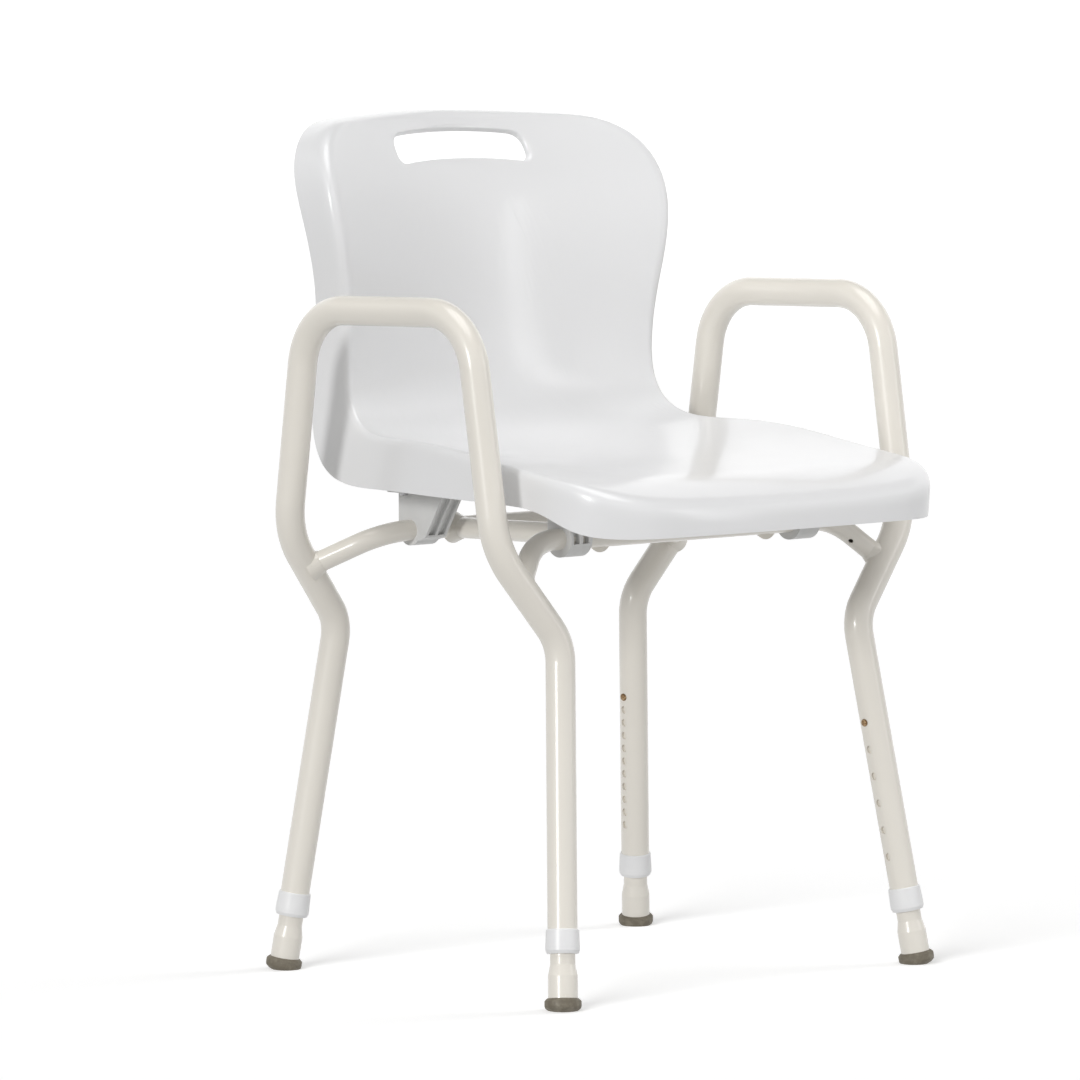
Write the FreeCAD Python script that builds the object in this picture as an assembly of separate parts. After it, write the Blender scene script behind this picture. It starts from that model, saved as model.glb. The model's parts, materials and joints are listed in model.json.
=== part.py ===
import FreeCAD, Part
import math
import os

V = FreeCAD.Vector
UP = V(0, 0, 1)

# Shower chair with moulded shell, bent-tube frame and four telescoping legs.
# Millimetres. +Z up, -Y front, +X on the right as seen from the front, floor at Z = 0.

# ---- tube stock
OUTER_R = 13.45            # side frame tube, outside radius
OUTER_WALL = 2.0
BORE_R = OUTER_R - OUTER_WALL
INNER_R = BORE_R - 0.075   # running fit of the sliding leg in the outer tube
INNER_WALL = 1.6
CROSS_R = 9.8              # cross tubes and stringers
CROSS_WALL = 1.6

# ---- leg axes: foot centre and the lean of each leg (run per mm of height)
FOOT_X, FOOT_Y, FOOT_Z = 226.4, 187.4, 6.0
LEAN_X = 0.1179
LEAN_FRONT, LEAN_REAR = 0.1359, 0.1067

# ---- side frame path
KNEE_Z, HIP_Z = 323.0, 409.0
HIP_X, ARM_X = 259.3, 260.5
UPRIGHT_Z = 500.0
UPRIGHT_FRONT_Y, UPRIGHT_FRONT_LEAN = 120.1, 0.1635
UPRIGHT_REAR_Y, UPRIGHT_REAR_LEAN = 130.55, 0.1387
ARM_Z, ARM_SLOPE = 616.4, 0.0197
KNEE_BEND, HIP_BEND, ARM_BEND = 42.0, 80.0, 58.0
OUTER_END_Z = 53.0         # open lower end of the outer tube, inside the collar

# ---- cross tubes and stringers
FRONT_TUBE_Y, FRONT_TUBE_Z = -111.0, 412.2
REAR_TUBE_Y, REAR_TUBE_Z = 88.0, 409.0
TUBE_CORNER_X = 190.0
FRONT_WELD = V(233, -138, 371)
REAR_WELD = V(235, 148, 374)
CROSS_BEND = 55.0
STRINGER_X = 106.0
VENT_R = 2.3               # drain hole near one end of each cross tube
VENT_BACK = 26.0           # its distance from the weld along the tube
WELD_LEG = 4.0             # size of the weld fillets

# ---- telescoping legs, measured along the leg axis from the foot centre
BUTTON_Z = 226.7
PITCH_FRONT, HOLES_FRONT = 25.4, 6
PITCH_REAR, HOLES_REAR = 12.7, 11
HOLE_R = 3.58
BUTTON_R = 3.5
BUTTON_PROUD = 1.9         # how far the button stands out of the outer tube
BUTTON_BASE = 8.9          # distance of the button's seat from the leg axis
INNER_TOP_Z = 264.0
SWAGE_TOP, SWAGE_BOTTOM = 35.0, 25.0
SWAGE_R = 13.4
INNER_END = 5.0
COLLAR_LOW, COLLAR_HIGH = 44.5, 66.5
COLLAR_END_R, COLLAR_R = 14.2, 15.6      # at its ends and over its rounded bead
BEAD_LOW, BEAD_HIGH = 3.0, 6.5           # the bead, above the collar's lower end
SPRING_WIDTH, SPRING_THICK, SPRING_DROP = 7.0, 0.8, 32.0
SPRING_RISE, SPRING_SHOULDER = 7.0, 8.0  # its ends above the button, its bend below
BUTTON_DOME = 1.3          # height of the button's rounded end

# ---- rubber foot
FOOT_R = 16.6
FOOT_TOP, FOOT_LOW, FOOT_DOME = 5.0, -4.0, -9.0
PLUG_TOP = 22.0

# ---- shell: profile in the YZ plane followed by its tangent angle
WALL = 4.0
LIP_Y, LIP_Z = -252.0, 447.0
SHELL_LENGTH = 707.0
LIP_ANGLE, LIP_LENGTH = 24.0, 103.0
SEAT_ANGLE, BACK_ANGLE, TOP_ANGLE = 0.9, 88.5, 60.0
BEND_START, BEND_END = 293.0, 500.0
SEAT_HALF, WAIST_HALF, BACK_HALF = 226.0, 197.0, 219.0
WAIST_AT, WIDE_AT = 469.0, 637.0
FRONT_CORNER_R, TOP_CORNER_R = 70.0, 80.0
FRONT_BOW, TOP_BOW = 11.5, 45.0
DISH_LIP, DISH_SEAT, DISH_BACK = 2.0, 26.0, 48.0
DISH_HALF = 215.0
FOLD_MIN, FOLD_MAX = 7.0, 14.0   # length over which the sheet turns into the skirt
RIM_SIDE_Z, RIM_RISE = 449.0, 0.02
RIM_BACK_Y = 176.0         # the skirt's rear rim, which dips in at the waist
RIM_WAIST, RIM_WAIST_Z, RIM_WAIST_SPAN = 13.0, 655.0, 110.0
RIM_TOP, RIM_TOP_Z, RIM_TOP_SPAN = 20.0, 705.0, 75.0   # and runs back towards the top
FRONT_DROP, FRONT_DROP_FROM, FRONT_DROP_OVER = 23.0, -150.0, 60.0
TOP_DEPTH, SIDE_FLARE, TOP_FLARE = 37.0, 2.5, 29.0
CORNER_POWER = 5.0         # how square the rear lower corner of the skirt is
ROWS, ROW_GROWTH, ROW_COARSE = 30, 1.33, 6.0

# ---- carrying slot in the back
SLOT_HALF, SLOT_RISE, SLOT_CORNER = 83.0, 15.0, 10.5
SLOT_AT, SLOT_SAG = 671.0, 9.0
LIP_FOLD, LIP_DEPTH = 4.0, 6.0

# ---- clips and their screws; the front pair and the rear pair differ in depth
CLIP_X = 146.0
CLIP_HALF = 13.0           # half length of the grip along the tube
CLIP_BACK = 15.0           # rear face, behind the tube's axis
CLIP_TOP_Z = 448.0
CLIP_FACE = {-1: 13.0, 1: 24.5}     # front face ahead of the tube's axis, by row
CLIP_SLOPE = {-1: 0.29, 1: 0.6}     # its forward lean per mm of height
CLIP_RING = {-1: 16.5, 1: 14.2}     # outside radius under the tube
CLIP_LOW = 6.0             # lower edge of the front face, below the tube's axis
CLIP_MOUTH, MOUTH_ANGLE = 9.0, 25.0
RIB_WIDTH, RECESS_DEPTH, RECESS_LOW = 3.0, 4.5, 4.0
FLANGE, FLANGE_HALF = 4.0, 27.0
BOSS_MARGIN = 2.0          # how far the shell's pads stand out round the flanges
SCREW_R, SCREW_HEAD_R, SCREW_HEAD_H = 2.0, 4.0, 2.6
SCREW_OFFSET, SCREW_BITE = 20.0, 7.0


def unit(v):
    return V(v).normalize()


def smooth(t):
    t = min(1.0, max(0.0, t))
    return t * t * t * (t * (6.0 * t - 15.0) + 10.0)


# ------------------------------------------------------------------ tubes
def rounded_path(points, radii):
    """Wire of straight runs with an arc of the given radius at each inner point."""
    edges = []
    start = points[0]
    for before, corner, after, radius in zip(points, points[1:], points[2:], radii):
        u = unit(before - corner)
        w = unit(after - corner)
        half = u.getAngle(w) / 2.0
        reach = radius / math.tan(half)
        centre = corner + unit(u + w) * (radius / math.sin(half))
        first = corner + u * reach
        last = corner + w * reach
        middle = centre + unit(corner - centre) * radius
        edges.append(Part.makeLine(start, first))
        edges.append(Part.Arc(first, middle, last).toShape())
        start = last
    edges.append(Part.makeLine(start, points[-1]))
    return Part.Wire(edges)


def swept_rod(points, radii, radius):
    path = rounded_path(points, radii)
    heading = unit(points[1] - points[0])
    ring = Part.Wire(Part.makeCircle(radius, points[0], heading))
    return path.makePipeShell([ring], True, False)


def rod(start, end, radius):
    run = end - start
    return Part.makeCylinder(radius, run.Length, start, run)


def leg_line(side, row, z):
    """Point at height z on the axis of a leg; side is -1 or 1, row is -1 front or 1 rear."""
    lean = LEAN_FRONT if row < 0 else LEAN_REAR
    rise = z - FOOT_Z
    return V(side * (FOOT_X - LEAN_X * rise), row * (FOOT_Y - lean * rise), z)


def upright_y(row, z):
    if row < 0:
        return -(UPRIGHT_FRONT_Y - UPRIGHT_FRONT_LEAN * (z - UPRIGHT_Z))
    return UPRIGHT_REAR_Y - UPRIGHT_REAR_LEAN * (z - UPRIGHT_Z)


def side_points(side):
    points = []
    for row in (-1, 1):
        y = upright_y(row, ARM_Z)
        run = [
            leg_line(side, row, OUTER_END_Z),
            leg_line(side, row, KNEE_Z),
            V(side * HIP_X, upright_y(row, HIP_Z), HIP_Z),
            V(side * ARM_X, y, ARM_Z - ARM_SLOPE * y),
        ]
        points += run if row < 0 else run[::-1]
    return points


SIDE_RADII = [KNEE_BEND, HIP_BEND, ARM_BEND, ARM_BEND, HIP_BEND, KNEE_BEND]


class Leg:
    """Axis, distances and directions of one telescoping leg."""

    def __init__(self, side, row):
        self.side = side
        self.row = row
        self.foot = leg_line(side, row, FOOT_Z)
        self.axis = unit(leg_line(side, row, KNEE_Z) - self.foot)
        inward = V(-side, 0, 0)
        self.press = unit(inward - self.axis * inward.dot(self.axis))
        self.pitch, self.holes = (
            (PITCH_FRONT, HOLES_FRONT) if row < 0 else (PITCH_REAR, HOLES_REAR)
        )
        self.button_s = (BUTTON_Z - FOOT_Z) / self.axis.z
        self.top_s = (INNER_TOP_Z - FOOT_Z) / self.axis.z

    def at(self, s, out=0.0):
        return self.foot + self.axis * s + self.press * out

    def place(self, shape):
        """Moves a shape built about +Z with the button towards +X onto this leg."""
        across = self.axis.cross(self.press)
        m = FreeCAD.Matrix(
            self.press.x, across.x, self.axis.x, self.foot.x,
            self.press.y, across.y, self.axis.y, self.foot.y,
            self.press.z, across.z, self.axis.z, self.foot.z,
            0, 0, 0, 1,
        )
        moved = shape.copy()
        moved.Placement = FreeCAD.Placement(m).multiply(shape.Placement)
        return moved


def revolve(profile):
    """Solid of revolution about Z from (radius, height) pairs."""
    points = [V(r, 0, z) for r, z in profile]
    face = Part.Face(Part.makePolygon(points + [points[0]]))
    return face.revolve(V(0, 0, 0), UP, 360)


def side_frame(side, legs):
    outer = swept_rod(side_points(side), SIDE_RADII, OUTER_R)
    hollow = swept_rod(side_points(side), SIDE_RADII, BORE_R)
    tube = outer.cut(hollow)
    drills = []
    for leg in legs:
        for n in range(leg.holes):
            s = leg.button_s - n * leg.pitch
            drills.append(rod(leg.at(s), leg.at(s, OUTER_R + 5), HOLE_R))
    return tube.cut(Part.makeCompound(drills)), outer


def cross_points(weld, y, z):
    return [
        V(-weld.x, weld.y, weld.z),
        V(-TUBE_CORNER_X, y, z),
        V(TUBE_CORNER_X, y, z),
        V(weld.x, weld.y, weld.z),
    ]


def cross_tube(weld, y, z, sides):
    points = cross_points(weld, y, z)
    bends = [CROSS_BEND, CROSS_BEND]
    solid = swept_rod(points, bends, CROSS_R)
    hollow = swept_rod(points, bends, CROSS_R - CROSS_WALL)
    tube = solid.cut(hollow).cut(sides[0]).cut(sides[1])
    along = unit(points[2] - points[3])
    facing = V(0, -1 if y < 0 else 1, -1.2)
    facing = unit(facing - along * facing.dot(along))
    spot = points[3] + along * (OUTER_R + VENT_BACK)
    tube = tube.cut(rod(spot, spot + facing * (CROSS_R + 4), VENT_R))
    pieces = sorted(tube.Solids, key=lambda s: -s.Volume)
    return pieces[0], solid


def stringer(x, crosses):
    start = V(x, FRONT_TUBE_Y, FRONT_TUBE_Z)
    end = V(x, REAR_TUBE_Y, REAR_TUBE_Z)
    tube = rod(start, end, CROSS_R).cut(rod(start, end, CROSS_R - CROSS_WALL))
    tube = tube.cut(crosses[0]).cut(crosses[1])
    return sorted(tube.Solids, key=lambda s: -s.Volume)[0], rod(start, end, CROSS_R)


def weld_fillet(surface_point, away, keep_clear):
    """Cone-shaped bead round a tube end, cut back to the tubes it joins."""
    away = unit(away)
    base = surface_point - away * (2.0 * WELD_LEG)
    cone = Part.makeCone(
        CROSS_R + 1.25 * WELD_LEG, CROSS_R + 0.3, 3.25 * WELD_LEG, base, away
    )
    for solid in keep_clear:
        cone = cone.cut(solid)
    return cone


# ------------------------------------------------------------------ legs
def inner_leg(leg):
    bore = INNER_R - INNER_WALL
    wide = SWAGE_R - INNER_WALL
    tube = revolve([
        (wide, INNER_END), (SWAGE_R, INNER_END), (SWAGE_R, SWAGE_BOTTOM),
        (INNER_R, SWAGE_TOP), (INNER_R, leg.top_s), (bore, leg.top_s),
        (bore, SWAGE_TOP), (wide, SWAGE_BOTTOM),
    ])
    hole = Part.makeCylinder(HOLE_R, INNER_R + 5, V(0, 0, leg.button_s), V(1, 0, 0))
    return leg.place(tube.cut(hole))


def collar(leg):
    outer_end = (OUTER_END_Z - FOOT_Z) / leg.axis.z
    profile = [
        (BORE_R, COLLAR_LOW), (COLLAR_END_R, COLLAR_LOW), (COLLAR_R, COLLAR_LOW + BEAD_LOW),
        (COLLAR_R, COLLAR_LOW + BEAD_HIGH), (COLLAR_END_R + 0.7, COLLAR_HIGH - 1.0),
        (COLLAR_END_R, COLLAR_HIGH),
        (OUTER_R, COLLAR_HIGH), (OUTER_R, outer_end), (BORE_R, outer_end),
    ]
    return leg.place(revolve(profile))


def rubber_foot(leg):
    plug = SWAGE_R - INNER_WALL
    profile = [
        (0, FOOT_DOME), (FOOT_R * 0.54, FOOT_DOME + 0.8), (FOOT_R * 0.81, FOOT_DOME + 2.8),
        (FOOT_R - 0.6, FOOT_LOW), (FOOT_R, FOOT_LOW + 2.0), (FOOT_R, FOOT_TOP - 2.5),
        (FOOT_R - 1.8, FOOT_TOP - 0.6), (SWAGE_R + 0.6, FOOT_TOP), (plug, FOOT_TOP),
        (plug, PLUG_TOP - 2.0), (plug - 1.5, PLUG_TOP), (0, PLUG_TOP),
    ]
    foot = leg.place(revolve(profile))
    floor = Part.makeBox(80, 80, 40, V(leg.foot.x - 40, leg.foot.y - 40, -40))
    return foot.cut(floor)


def button(leg):
    top = OUTER_R + BUTTON_PROUD
    head = revolve([
        (0, BUTTON_BASE), (BUTTON_R, BUTTON_BASE), (BUTTON_R, top - BUTTON_DOME),
        (BUTTON_R * 0.86, top - BUTTON_DOME * 0.5), (BUTTON_R * 0.55, top - BUTTON_DOME * 0.14),
        (0, top),
    ])
    head.rotate(V(0, 0, 0), V(0, 1, 0), 90)
    head.translate(V(0, 0, leg.button_s))
    return leg.place(head)


def button_spring(leg):
    """V-shaped leaf spring folded inside the sliding leg, below its button."""
    high = leg.button_s + SPRING_RISE
    shoulder = leg.button_s - SPRING_SHOULDER
    low = leg.button_s - SPRING_DROP
    x = BUTTON_BASE
    t = SPRING_THICK
    outline = [
        (x, high), (x, shoulder), (0.6 * t, low), (-0.6 * t, low),
        (-x, shoulder), (-x, high - 3.0), (-x + t, high - 3.0),
        (-x + t, shoulder), (0, low + 2.2 * t), (x - t, shoulder), (x - t, high),
    ]
    points = [V(a, -SPRING_WIDTH / 2.0, b) for a, b in outline]
    face = Part.Face(Part.makePolygon(points + [points[0]]))
    return leg.place(face.extrude(V(0, SPRING_WIDTH, 0)))


# ------------------------------------------------------------------ shell
def tangent_angle(q):
    angle = LIP_ANGLE + (SEAT_ANGLE - LIP_ANGLE) * smooth(q / LIP_LENGTH)
    turn = smooth((q - BEND_START) / (BEND_END - BEND_START))
    angle += (BACK_ANGLE - SEAT_ANGLE) * turn
    lean = smooth((q - BEND_END) / (SHELL_LENGTH - BEND_END))
    angle += (TOP_ANGLE - BACK_ANGLE) * lean
    return math.radians(angle)


def build_profile(step):
    y, z = LIP_Y, LIP_Z
    points = [(y, z, tangent_angle(0.0))]
    for i in range(int(SHELL_LENGTH / step) + 40):
        angle = tangent_angle((i + 0.5) * step)
        y += step * math.cos(angle)
        z += step * math.sin(angle)
        points.append((y, z, tangent_angle((i + 1) * step)))
    return points


STEP = 2.0
PROFILE = build_profile(STEP)


def profile_at(q):
    if q < 0:
        y, z, angle = PROFILE[0]
        return y + q * math.cos(angle), z + q * math.sin(angle), angle
    i = min(int(q / STEP), len(PROFILE) - 2)
    part = q / STEP - i
    return tuple(a + (b - a) * part for a, b in zip(PROFILE[i], PROFILE[i + 1]))


def half_width(q):
    if q < WAIST_AT:
        k = smooth((q / WAIST_AT - 0.42) / 0.58)
        return SEAT_HALF + (WAIST_HALF - SEAT_HALF) * k
    k = smooth((q - WAIST_AT) / (WIDE_AT - WAIST_AT))
    return WAIST_HALF + (BACK_HALF - WAIST_HALF) * k


def dish(q):
    seat = DISH_LIP + (DISH_SEAT - DISH_LIP) * smooth(q / (BEND_START + 37.0))
    rise = smooth((q - BEND_START) / (SHELL_LENGTH - 40.0 - BEND_START))
    return seat + (DISH_BACK - DISH_SEAT) * rise


def sheet(p, q):
    """Point of the sheet at lateral distance p and developed length q."""
    y, z, angle = profile_at(q)
    lift = dish(q) * (p / DISH_HALF) ** 2
    return V(p, y - math.sin(angle) * lift, z + math.cos(angle) * lift)


def half_outline():
    """Developed outline (p, q) from the front centre to the top centre, right half."""
    front = half_width(0.0)
    top = half_width(SHELL_LENGTH)
    points = []
    steps = 6
    flat = front - FRONT_CORNER_R
    for i in range(steps + 1):
        p = flat * i / steps
        points.append((p, FRONT_BOW * (p / front) ** 2))
    q_low = FRONT_BOW * (flat / front) ** 2 + FRONT_CORNER_R
    arc = 7
    for i in range(1, arc + 1):
        t = math.pi / 2 * i / arc
        points.append((flat + FRONT_CORNER_R * math.sin(t),
                       q_low - FRONT_CORNER_R * math.cos(t)))
    flat = top - TOP_CORNER_R
    q_high = SHELL_LENGTH - TOP_BOW * (flat / top) ** 2 - TOP_CORNER_R
    sides = 32
    for i in range(1, sides + 1):
        q = q_low + (q_high - q_low) * i / sides
        points.append((half_width(q), q))
    for i in range(1, arc + 1):
        t = math.pi / 2 * i / arc
        points.append((flat + TOP_CORNER_R * math.cos(t),
                       q_high + TOP_CORNER_R * math.sin(t)))
    for i in range(1, steps + 1):
        p = flat * (1.0 - i / steps)
        points.append((p, SHELL_LENGTH - TOP_BOW * (p / top) ** 2))
    return points


def relax(points, rounds):
    """Evens out the outline's curvature and keeps it symmetric."""
    for _ in range(rounds):
        n = len(points)
        points = [
            (
                (points[i - 1][0] + 2 * points[i][0] + points[(i + 1) % n][0]) / 4.0,
                (points[i - 1][1] + 2 * points[i][1] + points[(i + 1) % n][1]) / 4.0,
            )
            for i in range(n)
        ]
    return points


def closed_outline():
    half = half_outline()
    mirrored = [(-p, q) for p, q in half[-2:0:-1]]
    return relax(half + mirrored, 3)


def rear_rim_y(z):
    """How far back the skirt's rear rim lies at height z."""
    waist = smooth(1.0 - abs(z - RIM_WAIST_Z) / RIM_WAIST_SPAN)
    top = smooth((z - RIM_TOP_Z) / RIM_TOP_SPAN)
    return RIM_BACK_Y - RIM_WAIST * waist + RIM_TOP * top


def skirt(out, q, edge):
    """Vector from the fold to the skirt's rim at an outline point."""
    _, _, angle = profile_at(q)
    straight = angle * (1.0 - out[1] ** 2) if out[1] < 0 else angle
    away = V(0, math.sin(straight), -math.cos(straight))
    sideways = V(out[0], out[1] * math.cos(angle), out[1] * math.sin(angle))
    top = max(0.0, out[1]) ** 2
    flare = math.radians(SIDE_FLARE + (TOP_FLARE - SIDE_FLARE) * top)
    aim = unit(away * math.cos(flare) + sideways * math.sin(flare))
    drop = FRONT_DROP * smooth((FRONT_DROP_FROM - edge.y) / FRONT_DROP_OVER)
    rim_z = RIM_SIDE_Z + RIM_RISE * edge.y - drop
    far = 1.0e4
    least = 5.0
    to_back = max((rear_rim_y(edge.z) - edge.y) / aim.y, least) if aim.y > 1e-3 else far
    to_low = max((edge.z - rim_z) / -aim.z, least) if aim.z < -1e-3 else far
    depth = (to_back ** -CORNER_POWER + to_low ** -CORNER_POWER) ** (-1.0 / CORNER_POWER)
    return aim * (depth * (1.0 - top) + TOP_DEPTH * top)


def even_out(vectors, rounds):
    for _ in range(rounds):
        n = len(vectors)
        vectors = [
            (vectors[i - 1] + vectors[i] * 2.0 + vectors[(i + 1) % n]) * 0.25
            for i in range(n)
        ]
    return vectors


def slot_point(share):
    """Developed point of the slot's edge; share runs 0 to 1 from the lower centre."""
    flat = SLOT_HALF - SLOT_CORNER
    side = SLOT_RISE - SLOT_CORNER
    arc = SLOT_CORNER * math.pi / 2.0
    quarter = flat + arc + side
    along = (share % 1.0) * 4.0 * quarter
    turn, rest = divmod(along, 2.0 * quarter)
    if turn:
        rest = 2.0 * quarter - rest
        mirror = -1.0
    else:
        mirror = 1.0
    top = rest > quarter
    if top:
        rest = 2.0 * quarter - rest
    if rest < flat:
        p, h = rest, SLOT_RISE
    elif rest < flat + arc:
        t = (rest - flat) / SLOT_CORNER
        p = flat + SLOT_CORNER * math.sin(t)
        h = side + SLOT_CORNER * math.cos(t)
    else:
        p, h = SLOT_HALF, flat + arc + side - rest
    q = SLOT_AT - SLOT_SAG * (p / SLOT_HALF) ** 2 + (h if top else -h)
    return mirror * p, q


def row_shares():
    """Spacing of the sheet rows, fine at both folds."""
    steps = []
    for j in range(ROWS):
        ends = min(j, ROWS - 1 - j)
        steps.append(min(ROW_GROWTH ** ends, ROW_COARSE))
    total = sum(steps)
    shares = [0.0]
    for step in steps:
        shares.append(shares[-1] + step / total)
    return shares


def turned_edge(inner, edge, turn):
    """Points of the rounded turn between the sheet and a skirt, ends left out."""
    points = []
    for t in (0.25, 0.5, 0.75):
        a = (1 - t) * (1 - t)
        b = 2 * t * (1 - t)
        points.append(inner * a + edge * b + turn * (t * t))
    return points


def shell_columns():
    """Control columns from the slot's lip across the sheet to the skirt's rim."""
    outline = closed_outline()
    n = len(outline)
    lengths = [0.0]
    for i in range(n):
        ahead = outline[(i + 1) % n]
        lengths.append(lengths[-1] + math.hypot(ahead[0] - outline[i][0],
                                                ahead[1] - outline[i][1]))
    beside = min(range(n // 2), key=lambda i: abs(outline[i][1] - SLOT_AT))
    end_share = lengths[beside] / lengths[-1]
    skirts = []
    for i, (p, q) in enumerate(outline):
        before = outline[i - 1]
        after = outline[(i + 1) % n]
        run = V(after[0] - before[0], after[1] - before[1], 0).normalize()
        skirts.append(skirt((run.y, -run.x), q, sheet(p, q)))
    shares = row_shares()
    columns = []
    for i, hang in enumerate(even_out(skirts, 3)):
        p, q = outline[i]
        share = lengths[i] / lengths[-1]
        half = min(share, 1.0 - share)
        if half < end_share:
            slot_share = 0.25 * half / end_share
        else:
            slot_share = 0.25 + 0.25 * (half - end_share) / (0.5 - end_share)
        sp, sq = slot_point(slot_share if share <= 0.5 else 1.0 - slot_share)
        gap = math.hypot(p - sp, q - sq)
        depth = hang.Length
        aim = unit(hang)
        fold = max(FOLD_MIN, min(FOLD_MAX, 0.4 * depth, 0.45 * gap))
        lip_fold = min(LIP_FOLD, 0.3 * gap)
        _, _, angle = profile_at(sq)
        back = V(0, math.sin(angle), -math.cos(angle))
        lip_edge = sheet(sp, sq)

        def between(distance):
            k = distance / gap
            return sheet(sp + (p - sp) * k, sq + (q - sq) * k)

        start = between(lip_fold)
        end = between(gap - fold)
        edge = sheet(p, q)
        lip_turn = lip_edge + back * lip_fold
        column = [lip_edge + back * LIP_DEPTH,
                  lip_edge + back * (0.5 * (LIP_DEPTH + lip_fold)), lip_turn]
        column += turned_edge(lip_turn, lip_edge, start)
        for k in shares:
            column.append(between(lip_fold + (gap - fold - lip_fold) * k))
        column += turned_edge(end, edge, edge + aim * fold)
        column.append(edge + aim * fold)
        for t in (0.22, 0.47, 0.73, 1.0):
            column.append(edge + aim * (fold + (depth - fold) * t))
        columns.append(column)
    return columns


def inner_columns(columns):
    """The same columns moved one wall thickness behind the outer skin."""
    n = len(columns)
    moved = []
    for i, column in enumerate(columns):
        left, right = columns[i - 1], columns[(i + 1) % n]
        last = len(column) - 1
        new = []
        for j, point in enumerate(column):
            ahead = column[min(j + 1, last)] - column[max(j - 1, 0)]
            around = right[j] - left[j]
            new.append(point - unit(ahead.cross(around)) * WALL)
        moved.append(new)
    return moved


def closed_surface(columns):
    """Cubic B-spline surface on the control columns, periodic round the shell."""
    n, m = len(columns), len(columns[0])
    surface = Part.BSplineSurface()
    surface.buildFromPolesMultsKnots(
        columns, [1] * (n + 1), [4] + [1] * (m - 4) + [4],
        [float(k) for k in range(n + 1)], [float(k) for k in range(m - 2)],
        True, False, 3, 3,
    )
    return surface


def closed_edges(face):
    """The two closed boundary curves of an annular face."""
    return [e for e in face.Edges if e.isClosed() and len(e.Vertexes) == 1]


def seat_shell():
    columns = shell_columns()
    outer = closed_surface(columns).toShape()
    inner = closed_surface(inner_columns(columns)).toShape()
    walls = [
        Part.makeRuledSurface(a, b)
        for a, b in zip(closed_edges(outer), closed_edges(inner))
    ]
    skin = Part.makeShell([outer, inner] + walls)
    skin.sewShape()
    solid = Part.makeSolid(skin)
    if solid.Volume < 0:
        solid.reverse()
    return solid


def add_bosses(core, seats):
    """Fuses the moulded pads under the seat that the clips are screwed to."""
    for seat in seats:
        front, rear = seat.flange_y()
        pad = Part.makeBox(
            2 * (FLANGE_HALF + BOSS_MARGIN), rear - front + 2 * BOSS_MARGIN, 60.0,
            V(seat.x - FLANGE_HALF - BOSS_MARGIN, front - BOSS_MARGIN, CLIP_TOP_Z),
        )
        below = max(pad.cut(core).Solids, key=lambda s: -s.CenterOfMass.z)
        core = core.fuse(below)
    return core


# ------------------------------------------------------------------ clips
class ClipSeat:
    """Where one clip grips its cross tube; row is -1 front or 1 rear."""

    def __init__(self, side, row):
        self.row = row
        self.x = side * CLIP_X
        self.y, self.z = (
            (FRONT_TUBE_Y, FRONT_TUBE_Z) if row < 0 else (REAR_TUBE_Y, REAR_TUBE_Z)
        )

    def face_y(self, z, depth=0.0):
        """Front face of the clip at height z, or a plane that far behind it."""
        reach = CLIP_FACE[self.row] + CLIP_SLOPE[self.row] * (z - self.z) - depth
        return self.y - reach

    def flange_y(self):
        return self.face_y(CLIP_TOP_Z), self.y + CLIP_BACK

    def prism(self, outline, half, centre=0.0):
        """Extrudes a (y, z) outline along X about the clip's middle plus centre."""
        x = self.x + centre - half
        points = [V(x, y, z) for y, z in outline]
        face = Part.Face(Part.makePolygon(points + [points[0]]))
        return face.extrude(V(2 * half, 0, 0))

    def along(self, radius, half):
        return Part.makeCylinder(radius, 2 * half, V(self.x - half, self.y, self.z),
                                 V(1, 0, 0))


def clip(seat):
    """Snap-on saddle: ring round the tube, ribbed front face and a screwed flange."""
    low = seat.z - CLIP_LOW
    body = seat.prism([
        (seat.y + CLIP_BACK, seat.z), (seat.y + CLIP_BACK, CLIP_TOP_Z),
        (seat.face_y(CLIP_TOP_Z), CLIP_TOP_Z), (seat.face_y(low), low),
        (seat.y, seat.z - CLIP_RING[seat.row] + 1.0),
    ], CLIP_HALF)
    shape = body.fuse(seat.along(CLIP_RING[seat.row], CLIP_HALF))
    recess_low = seat.z - RECESS_LOW
    recess_top = CLIP_TOP_Z - FLANGE
    recess = [
        (seat.face_y(recess_low, RECESS_DEPTH), recess_low),
        (seat.face_y(recess_top, RECESS_DEPTH), recess_top),
        (seat.face_y(recess_top) - 20.0, recess_top),
        (seat.face_y(recess_low) - 20.0, recess_low),
    ]
    pitch = CLIP_HALF - RIB_WIDTH / 2.0
    for side in (-1, 1):
        pocket = seat.prism(recess, (pitch - RIB_WIDTH) / 2.0, side * pitch / 2.0)
        shape = shape.cut(pocket)
    front, rear = seat.flange_y()
    flange = Part.makeBox(2 * FLANGE_HALF, rear - front, FLANGE,
                          V(seat.x - FLANGE_HALF, front, CLIP_TOP_Z - FLANGE))
    mouth = Part.makeBox(2 * CLIP_HALF + 2, 40.0, CLIP_MOUTH,
                         V(seat.x - CLIP_HALF - 1, seat.y, seat.z - CLIP_MOUTH / 2.0))
    mouth.rotate(V(seat.x, seat.y, seat.z), V(1, 0, 0), -MOUTH_ANGLE)
    return shape.fuse(flange).cut(seat.along(CROSS_R, CLIP_HALF + 1)).cut(mouth)


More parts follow.
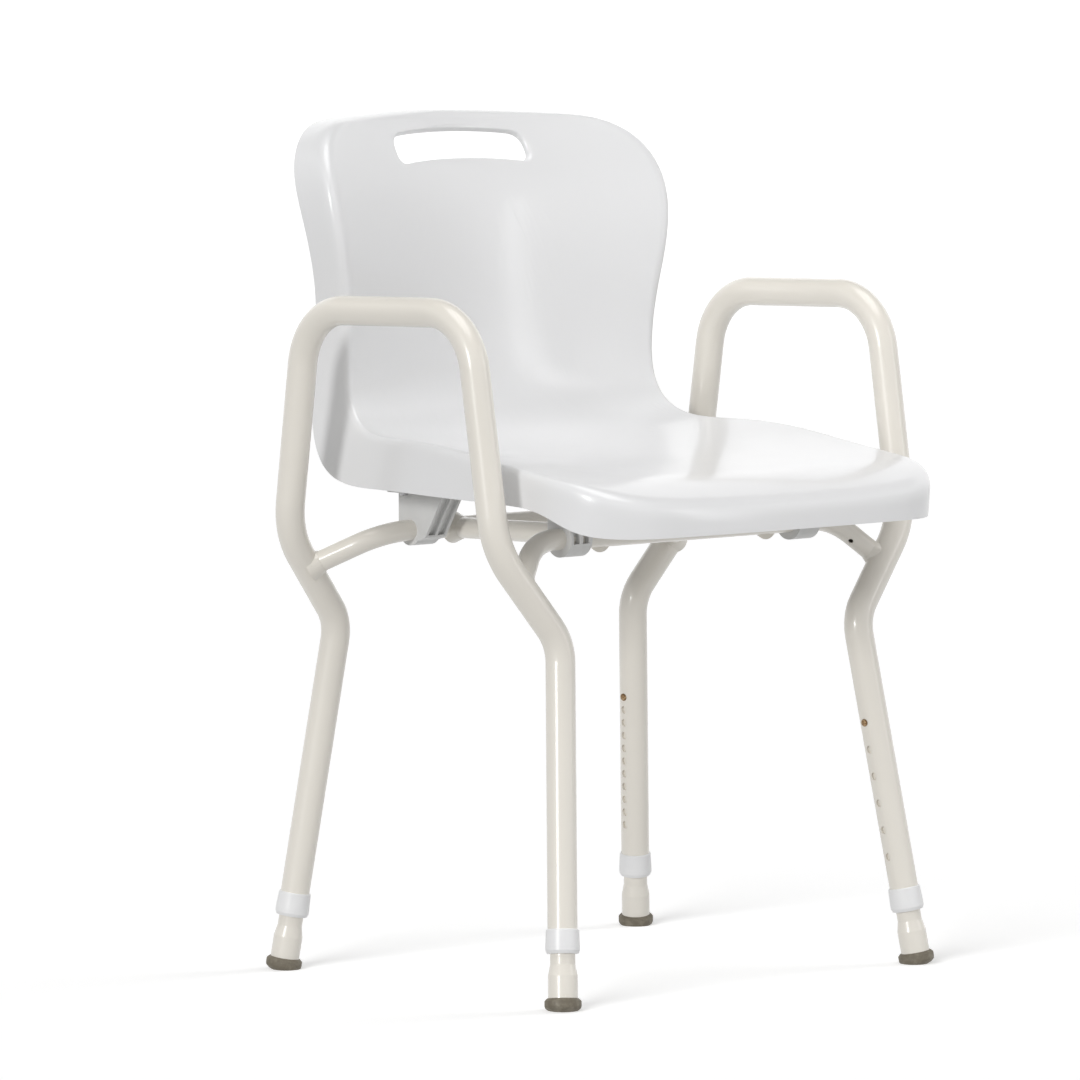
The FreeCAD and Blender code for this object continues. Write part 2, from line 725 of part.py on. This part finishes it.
def clip_screw(seat, end, clearance):
    """Pan-head screw pushed up through the flange into the shell's pad."""
    x = seat.x + end * SCREW_OFFSET
    y = seat.y
    head_z = CLIP_TOP_Z - FLANGE - SCREW_HEAD_H
    length = SCREW_HEAD_H + FLANGE + SCREW_BITE
    if clearance:
        shank = Part.makeCylinder(SCREW_R, length, V(x, y, head_z))
        reach = 30.0
        space = Part.makeCylinder(SCREW_HEAD_R + 0.6, reach,
                                  V(x, y, head_z + SCREW_HEAD_H - reach))
        return shank.fuse(space)
    head = Part.makeCylinder(SCREW_HEAD_R, SCREW_HEAD_H, V(x, y, head_z))
    head = head.makeChamfer(0.8, [head.Edges[2]])
    shape = head.fuse(Part.makeCylinder(SCREW_R, length, V(x, y, head_z)))
    slot = 0.9
    for dx, dy in ((SCREW_HEAD_R * 0.7, slot / 2.0), (slot / 2.0, SCREW_HEAD_R * 0.7)):
        shape = shape.cut(Part.makeBox(2 * dx, 2 * dy, 1.0, V(x - dx, y - dy, head_z)))
    return shape


# ------------------------------------------------------------------ build
def name_of(side, row):
    return ("front" if row < 0 else "rear") + ("_left" if side < 0 else "_right")


def tube_frame(parts, legs):
    """The welded frame: two side frames, two cross tubes, two stringers, welds."""
    sides = []
    for side, name in ((-1, "left"), (1, "right")):
        tube, solid = side_frame(side, [legs[side, -1], legs[side, 1]])
        parts[name + "_side_frame"] = tube
        sides.append(solid)
    crosses = []
    for name, weld, y, z in (
        ("front_cross_tube", FRONT_WELD, FRONT_TUBE_Y, FRONT_TUBE_Z),
        ("rear_cross_tube", REAR_WELD, REAR_TUBE_Y, REAR_TUBE_Z),
    ):
        tube, solid = cross_tube(weld, y, z, sides)
        parts[name] = tube
        crosses.append(solid)
    beads = []
    for x, name in ((-STRINGER_X, "left_stringer"), (STRINGER_X, "right_stringer")):
        tube, solid = stringer(x, crosses)
        parts[name] = tube
        front = V(x, FRONT_TUBE_Y, FRONT_TUBE_Z)
        run = unit(V(x, REAR_TUBE_Y, REAR_TUBE_Z) - front)
        rear = V(x, REAR_TUBE_Y, REAR_TUBE_Z)
        beads.append(weld_fillet(front + run * CROSS_R, run, [solid] + crosses))
        beads.append(weld_fillet(rear - run * CROSS_R, run * -1.0, [solid] + crosses))
    for weld, y, z, solid in ((FRONT_WELD, FRONT_TUBE_Y, FRONT_TUBE_Z, crosses[0]),
                              (REAR_WELD, REAR_TUBE_Y, REAR_TUBE_Z, crosses[1])):
        left, left_corner, right_corner, right = cross_points(weld, y, z)
        for end, corner, frame in ((left, left_corner, sides[0]),
                                   (right, right_corner, sides[1])):
            away = unit(corner - end)
            beads.append(weld_fillet(end + away * OUTER_R, away, [solid, frame]))
    parts["frame_welds"] = Part.makeCompound(
        [max(bead.Solids, key=lambda s: s.Volume) for bead in beads]
    )


def build():
    parts = {}
    legs = {(side, row): Leg(side, row) for side in (-1, 1) for row in (-1, 1)}
    tube_frame(parts, legs)
    seats = []
    screws = []
    holes = []
    for (side, row), leg in legs.items():
        tag = name_of(side, row)
        seat = ClipSeat(side, row)
        drills = [clip_screw(seat, end, True) for end in (-1, 1)]
        parts[tag + "_clip"] = clip(seat).cut(Part.makeCompound(drills))
        screws += [clip_screw(seat, end, False) for end in (-1, 1)]
        holes += drills
        seats.append(seat)
        parts[tag + "_collar"] = collar(leg)
        parts[tag + "_inner_leg"] = inner_leg(leg)
        parts[tag + "_foot"] = rubber_foot(leg)
        parts[tag + "_button"] = button(leg)
        parts[tag + "_button_spring"] = button_spring(leg)
    parts["clip_screws"] = Part.makeCompound(screws)
    parts["seat_shell"] = add_bosses(seat_shell(), seats).cut(Part.makeCompound(holes))
    return parts


def main():
    os.makedirs("parts", exist_ok=True)
    for name, shape in build().items():
        shape.exportStep("parts/" + name + ".step")
        box = shape.BoundBox
        print(name, "valid" if shape.isValid() else "INVALID", len(shape.Solids), "solids",
              round(shape.Volume / 1000, 1), "cm3, height", round(box.ZLength, 1))


main()
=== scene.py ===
import json
import math

import bpy
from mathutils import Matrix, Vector


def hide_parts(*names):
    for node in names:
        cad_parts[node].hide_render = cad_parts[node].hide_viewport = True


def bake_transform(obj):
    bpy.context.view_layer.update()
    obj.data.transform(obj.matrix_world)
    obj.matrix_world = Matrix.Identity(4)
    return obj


# Shower chair: materials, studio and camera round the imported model. Metres; +Z up, -Y front.
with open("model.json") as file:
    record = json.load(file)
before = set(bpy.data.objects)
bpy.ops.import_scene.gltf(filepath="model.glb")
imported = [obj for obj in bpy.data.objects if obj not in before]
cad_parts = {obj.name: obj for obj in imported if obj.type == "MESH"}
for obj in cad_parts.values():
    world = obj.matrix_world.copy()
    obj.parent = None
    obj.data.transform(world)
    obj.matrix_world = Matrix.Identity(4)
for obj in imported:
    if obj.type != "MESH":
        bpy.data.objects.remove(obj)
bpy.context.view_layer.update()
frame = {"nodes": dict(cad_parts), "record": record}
nodes = frame["nodes"]

# ---- colours, linear: each finish drifts between its own tones
CREAM = (0.80, 0.762, 0.690)
CREAM_COOL = (0.787, 0.752, 0.682)
CREAM_DARK = (0.70, 0.65, 0.57)
SHELL_WHITE = (0.80, 0.80, 0.805)
SHELL_COOL = (0.79, 0.793, 0.80)
SHELL_SHADE = (0.775, 0.775, 0.783)
COLLAR_WHITE, COLLAR_COOL = (0.84, 0.84, 0.84), (0.81, 0.81, 0.815)
# the clips' grey, a little darker than the shell's white, is partly painted shade
CLIP_SHADED_GREY, CLIP_SHADED_DARK = (0.70, 0.70, 0.69), (0.66, 0.66, 0.65)
FOOT_BROWN = (0.145, 0.125, 0.090)
FOOT_DUST = (0.24, 0.215, 0.165)
BUTTON_BROWN = (0.20, 0.12, 0.06)
BUTTON_WORN = (0.42, 0.30, 0.17)
STEEL, STEEL_DARK = (0.50, 0.50, 0.51), (0.40, 0.40, 0.41)
FLOOR_WHITE, FLOOR_DULL = (0.93, 0.93, 0.93), (0.92, 0.92, 0.92)

# ---- studio
AIR_BELOW, AIR_ABOVE = 0.58, 0.22    # the air's light from straight below and from above
KEY, FRONT, ABOVE = 1.2, 0.48, 1.5   # the chair's wide lamps, watts per square metre
STRIP = 6.5                          # the strip's watts
FLOOR_LEFT, FLOOR_RIGHT = 2.2, 0.9   # the floor's own lamps, watts per square metre
FLOOR_GLOW = 0.37                    # what the floor gives off, so that it stays white
CHAIR_MIDDLE = (0, 0, 0.4)           # where the chair's lamps aim

# ---- camera: what it looks at, the way back to it, how far, and its lens in mm
TARGET = (-0.0411, 0.0388, 0.3962)
BACK = (-0.6841, -0.7249, 0.0809)
DISTANCE, LENS, SENSOR = 7.038, 254.1, 36.0
CLIP_END = 60.0


# ------------------------------------------------------------------ materials
# Base roughness is 0.285 or more on every finish: bands that went lower rendered with blotches.
class Build:
    """A material with a Principled shader and a few node helpers, in object coordinates."""

    def __init__(self, name):
        self.material = bpy.data.materials.new(name)
        self.material.use_nodes = True
        self.tree = self.material.node_tree
        self.shader = self.tree.nodes["Principled BSDF"]
        self.place = self.node("ShaderNodeTexCoord").outputs["Object"]

    def node(self, kind, **values):
        made = self.tree.nodes.new(kind)
        for key, value in values.items():
            setattr(made, key, value)
        return made

    def link(self, a, b):
        self.tree.links.new(a, b)

    def noise(self, scale, detail=3.0, rough=0.5, stretch=(1.0, 1.0, 1.0)):
        """Features about 1/scale metres wide, finer along an axis whose stretch is over 1."""
        mapping = self.node("ShaderNodeMapping")
        mapping.inputs["Scale"].default_value = stretch
        self.link(self.place, mapping.inputs["Vector"])
        made = self.node("ShaderNodeTexNoise")
        made.inputs["Scale"].default_value = scale
        made.inputs["Detail"].default_value = detail
        made.inputs["Roughness"].default_value = rough
        self.link(mapping.outputs["Vector"], made.inputs["Vector"])
        return made.outputs["Fac"]

    def band(self, value, low, high, to_low, to_high):
        """The part of value between low and high, spread from to_low to to_high."""
        made = self.node("ShaderNodeMapRange")
        made.clamp = True
        for name, number in (("From Min", low), ("From Max", high),
                             ("To Min", to_low), ("To Max", to_high)):
            made.inputs[name].default_value = number
        self.link(value, made.inputs["Value"])
        return made.outputs["Result"]

    def blend(self, factor, a, b):
        """Colour a where factor is 0 and colour b where it is 1."""
        made = self.node("ShaderNodeMix", data_type="RGBA")
        self.link(factor, made.inputs["Factor"])
        for socket, colour in ((made.inputs[6], a), (made.inputs[7], b)):
            if isinstance(colour, tuple):
                socket.default_value = (*colour, 1.0)
            else:
                self.link(colour, socket)
        return made.outputs[2]

    def colour(self, output):
        self.link(output, self.shader.inputs["Base Color"])

    def roughness(self, output):
        self.link(output, self.shader.inputs["Roughness"])

    def bump(self, height, strength, distance, below=None):
        """A relief on the surface, laid over the relief below where there is one."""
        made = self.node("ShaderNodeBump")
        made.inputs["Strength"].default_value = strength
        made.inputs["Distance"].default_value = distance
        self.link(height, made.inputs["Height"])
        if below is not None:
            self.link(below, made.inputs["Normal"])
        self.link(made.outputs["Normal"], self.shader.inputs["Normal"])
        return made.outputs["Normal"]

    def set(self, **values):
        for key, value in values.items():
            self.shader.inputs[key.replace("_", " ")].default_value = value


def powder_coat():
    """Cream powder coat: faint orange peel, a little tone drift and tiny pits in the film."""
    m = Build("cream_powder_coat")
    drift = m.band(m.noise(5.0, 2.0), 0.3, 0.7, 0.0, 1.0)
    pits = m.band(m.noise(700.0, 2.0), 0.70, 0.80, 0.0, 0.18)
    m.colour(m.blend(pits, m.blend(drift, CREAM, CREAM_COOL), CREAM_DARK))
    m.roughness(m.band(m.noise(60.0, 3.0), 0.3, 0.7, 0.285, 0.34))
    m.bump(m.noise(220.0, 1.5), 0.02, 0.0006)
    m.set(Coat_Weight=0.6, Coat_Roughness=0.08, IOR=1.5)
    return m.material


def weld_coat():
    """The same coat over a weld bead, with the ripples of the bead under it."""
    m = Build("cream_coat_over_weld")
    m.colour(m.blend(m.band(m.noise(60.0), 0.35, 0.65, 0.0, 1.0), CREAM, CREAM_COOL))
    m.roughness(m.band(m.noise(200.0), 0.3, 0.7, 0.29, 0.37))
    ripples = m.bump(m.noise(240.0, 2.0), 0.25, 0.0010)
    m.bump(m.noise(900.0, 2.0), 0.05, 0.0003, ripples)
    m.set(Coat_Weight=0.4, Coat_Roughness=0.12)
    return m.material


def shell_plastic():
    """Cool white moulded plastic: very shallow satin grain, slow drift in tone."""
    m = Build("white_moulded_shell")
    drift = m.band(m.noise(2.2, 2.0), 0.3, 0.7, 0.0, 1.0)
    flow = m.band(m.noise(4.0, 3.0, 0.55, (1.0, 1.0, 0.3)), 0.5, 0.8, 0.0, 0.2)
    m.colour(m.blend(flow, m.blend(drift, SHELL_WHITE, SHELL_COOL), SHELL_SHADE))
    m.roughness(m.band(m.noise(35.0, 4.0), 0.3, 0.7, 0.285, 0.335))
    m.bump(m.noise(500.0, 2.0), 0.008, 0.0003)
    m.set(IOR=1.49, Coat_Weight=0.4, Coat_Roughness=0.12)
    return m.material


def collar_plastic():
    """Plain white moulded collar, a little matt."""
    m = Build("white_collar")
    drift = m.band(m.noise(30.0), 0.35, 0.65, 0.0, 1.0)
    m.colour(m.blend(drift, COLLAR_WHITE, COLLAR_COOL))
    m.roughness(m.band(m.noise(300.0), 0.3, 0.7, 0.29, 0.38))
    m.bump(m.noise(1200.0, 2.0), 0.06, 0.0002)
    m.set(IOR=1.49)
    return m.material


def clip_plastic():
    """Grey-white clip plastic with a fine matt grain; its grey, darker than the shell's white,
    is partly painted shade.
    """
    m = Build("clip_grey_with_painted_shade")
    drift = m.band(m.noise(40.0), 0.35, 0.65, 0.0, 1.0)
    m.colour(m.blend(drift, CLIP_SHADED_GREY, CLIP_SHADED_DARK))
    m.roughness(m.band(m.noise(250.0), 0.3, 0.7, 0.42, 0.58))
    m.bump(m.noise(1400.0, 3.0), 0.12, 0.0003)
    m.set(IOR=1.53)
    return m.material


def foot_rubber():
    """Grey-brown rubber, dusty in patches and slightly worn."""
    m = Build("grey_brown_rubber")
    dust = m.band(m.noise(120.0, 5.0, 0.65), 0.45, 0.68, 0.0, 0.8)
    m.colour(m.blend(dust, FOOT_BROWN, FOOT_DUST))
    m.roughness(m.band(m.noise(200.0), 0.3, 0.7, 0.5, 0.7))
    fine = m.bump(m.noise(700.0, 4.0), 0.3, 0.0004)
    m.bump(m.noise(60.0, 2.0), 0.15, 0.0008, fine)
    m.set(IOR=1.52)
    return m.material


def button_metal():
    """Brown burnished metal, rubbed bright in places."""
    m = Build("dark_burnished_button")
    worn = m.band(m.noise(500.0, 4.0), 0.45, 0.65, 0.0, 1.0)
    m.colour(m.blend(worn, BUTTON_BROWN, BUTTON_WORN))
    m.roughness(m.band(m.noise(900.0), 0.3, 0.7, 0.29, 0.45))
    m.bump(m.noise(1200.0, 2.0), 0.1, 0.0002)
    m.set(Metallic=0.9)
    return m.material


def steel(name, scratch):
    """Plain steel, its marks finer along an axis whose number in scratch is over 1."""
    m = Build(name)
    tone = m.band(m.noise(300.0, 4.0, 0.6, scratch), 0.35, 0.65, 0.0, 1.0)
    m.colour(m.blend(tone, STEEL, STEEL_DARK))
    m.roughness(m.band(m.noise(600.0, 3.0, 0.5, scratch), 0.3, 0.7, 0.29, 0.42))
    m.bump(m.noise(900.0, 3.0, 0.5, scratch), 0.1, 0.0002)
    m.set(Metallic=1.0)
    return m.material


FINISHES = {
    "frame": powder_coat(),
    "shell": shell_plastic(),
    "collar": collar_plastic(),
    "clip": clip_plastic(),
    "foot": foot_rubber(),
    "button": button_metal(),
    "spring": steel("spring_steel", (1.0, 1.0, 12.0)),
    "screw": steel("plated_screw_steel", (1.0, 1.0, 1.0)),
}
finish_by_node = {entry["node"]: FINISHES[entry["material_slot"]]
                  for entry in frame["record"]["subparts"]}
finish_by_node["frame_welds"] = weld_coat()

for name, piece in nodes.items():
    finish = finish_by_node[name]
    if not piece.material_slots:
        piece.data.materials.append(finish)
    for slot in piece.material_slots:
        slot.material = finish


# ------------------------------------------------------------------ button springs
def bending_spring(joint):
    """The leaf spring behind a button, copied into a piece of its own; the imported spring is
    hidden.
    """
    button = joint["child"]
    node = button + "_spring"
    piece = bpy.data.objects.new(button + "_bending_spring", nodes[node].data.copy())
    bpy.context.scene.collection.objects.link(piece)
    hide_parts(node)
    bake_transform(piece)


for joint in frame["record"]["behaviour"]["joints"]:
    if joint["name"].endswith("button_press"):
        bending_spring(joint)


# ------------------------------------------------------------------ studio
def ground():
    """A white floor that curves up into a wall all round and glows enough to stay white."""
    inner, radius, cove, height = 1.5, 12.0, 3.0, 9.0
    around, steps = 96, 12
    profile = [(inner, 0.0), (radius - cove, 0.0)]
    for i in range(1, steps + 1):
        a = math.pi / 2 * i / steps
        profile.append((radius - cove + cove * math.sin(a), cove - cove * math.cos(a)))
    profile.append((radius, height))
    points, faces = [(0.0, 0.0, 0.0)], []
    for r, h in profile:
        for j in range(around):
            a = 2 * math.pi * j / around
            points.append((r * math.cos(a), r * math.sin(a), h))
    for j in range(around):
        k = (j + 1) % around
        faces.append((0, 1 + j, 1 + k))
        for i in range(len(profile) - 1):
            low, high = 1 + i * around, 1 + (i + 1) * around
            faces.append((low + j, high + j, high + k, low + k))
    mesh = bpy.data.meshes.new("studio_floor")
    mesh.from_pydata(points, [], faces)
    mesh.shade_smooth()
    floor = bpy.data.objects.new("studio_floor", mesh)
    bpy.context.scene.collection.objects.link(floor)
    m = Build("studio_floor_white")
    m.colour(m.blend(m.band(m.noise(2.0), 0.3, 0.7, 0.0, 1.0), FLOOR_WHITE, FLOOR_DULL))
    m.set(Roughness=0.9, Specular_IOR_Level=0.1, Emission_Color=(1.0, 1.0, 1.0, 1.0),
          Emission_Strength=FLOOR_GLOW)
    mesh.materials.append(m.material)
    floor.visible_diffuse = False      # its glow and its wall leave the light on the chair alone
    floor.visible_shadow = False
    return floor


def lamp(kind, name, position, aim, power, **values):
    """A lamp at position, turned to face aim."""
    light = bpy.data.lights.new(name, kind)
    light.energy = power
    for key, value in values.items():
        setattr(light, key, value)
    made = bpy.data.objects.new(name, light)
    bpy.context.scene.collection.objects.link(made)
    made.location = position
    toward = Vector(aim) - Vector(position)
    made.rotation_euler = toward.to_track_quat("-Z", "Y").to_euler()
    return made


def group(name, members, state="INCLUDE"):
    """A set of pieces for light linking: what a lamp lights, or what shades it."""
    made = bpy.data.collections.new(name)
    for member in members:
        made.objects.link(member)
    for entry in made.collection_objects:
        entry.light_linking.link_state = state
    return made


def air():
    """White light from all round, stronger from the floor's side than from above."""
    world = bpy.data.worlds.new("studio_air")
    bpy.context.scene.world = world
    world.use_nodes = True
    tree = world.node_tree
    place = tree.nodes.new("ShaderNodeTexCoord")
    split = tree.nodes.new("ShaderNodeSeparateXYZ")
    ramp = tree.nodes.new("ShaderNodeMapRange")
    tree.links.new(place.outputs["Generated"], split.inputs["Vector"])
    tree.links.new(split.outputs["Z"], ramp.inputs["Value"])
    for socket, value in (("From Min", -1.0), ("From Max", 1.0), ("To Min", AIR_BELOW),
                          ("To Max", AIR_ABOVE)):
        ramp.inputs[socket].default_value = value
    tree.links.new(ramp.outputs["Result"], tree.nodes["Background"].inputs["Strength"])
    tree.nodes["Background"].inputs["Color"].default_value = (1.0, 1.0, 1.0, 1.0)


def studio(floor):
    """A low key from the left, softer light from the front and above, a strip of highlight.

    The floor has two low lamps of its own, shaded only by the legs' lower ends, so each foot
    has its short soft shadow and the floor stays white between them.
    """
    bpy.context.scene.view_settings.view_transform = "Standard"
    not_floor = group("all_but_the_floor", [floor], "EXCLUDE")
    for made in (
        lamp("SUN", "key_left", (-4.0, -0.9, 1.5), CHAIR_MIDDLE, KEY, angle=math.radians(12)),
        lamp("SUN", "front_low", (0.3, -4.0, 1.3), CHAIR_MIDDLE, FRONT, angle=math.radians(36)),
        lamp("SUN", "above", (-0.4, -0.8, 5.0), CHAIR_MIDDLE, ABOVE, angle=math.radians(50)),
        lamp("AREA", "strip_right", (1.9, -2.6, 1.3), CHAIR_MIDDLE, STRIP, shape="RECTANGLE",
             size=0.3, size_y=1.8),
    ):
        made.light_linking.receiver_collection = not_floor
    only_floor = group("only_the_floor", [floor])
    legs = group("legs", [piece for name, piece in nodes.items()
                          if name.endswith(("_foot", "_inner_leg", "_collar"))])
    for name, x, power in (("floor_from_left", -4.0, FLOOR_LEFT),
                           ("floor_from_right", 4.0, FLOOR_RIGHT)):
        made = lamp("SUN", name, (x, -1.2, 1.9), (0, 0, 0), power, angle=math.radians(30))
        made.light_linking.receiver_collection = only_floor
        made.light_linking.blocker_collection = legs


def camera():
    """A long lens seven metres off, to the front left and a little above the chair's top."""
    back = Vector(BACK).normalized()
    data = bpy.data.cameras.new("camera")
    data.sensor_width = SENSOR
    data.lens = LENS
    data.clip_end = CLIP_END
    made = bpy.data.objects.new("camera", data)
    bpy.context.scene.collection.objects.link(made)
    made.location = Vector(TARGET) + back * DISTANCE
    made.rotation_euler = (-back).to_track_quat("-Z", "Y").to_euler()
    bpy.context.scene.camera = made


air()
studio(ground())
camera()
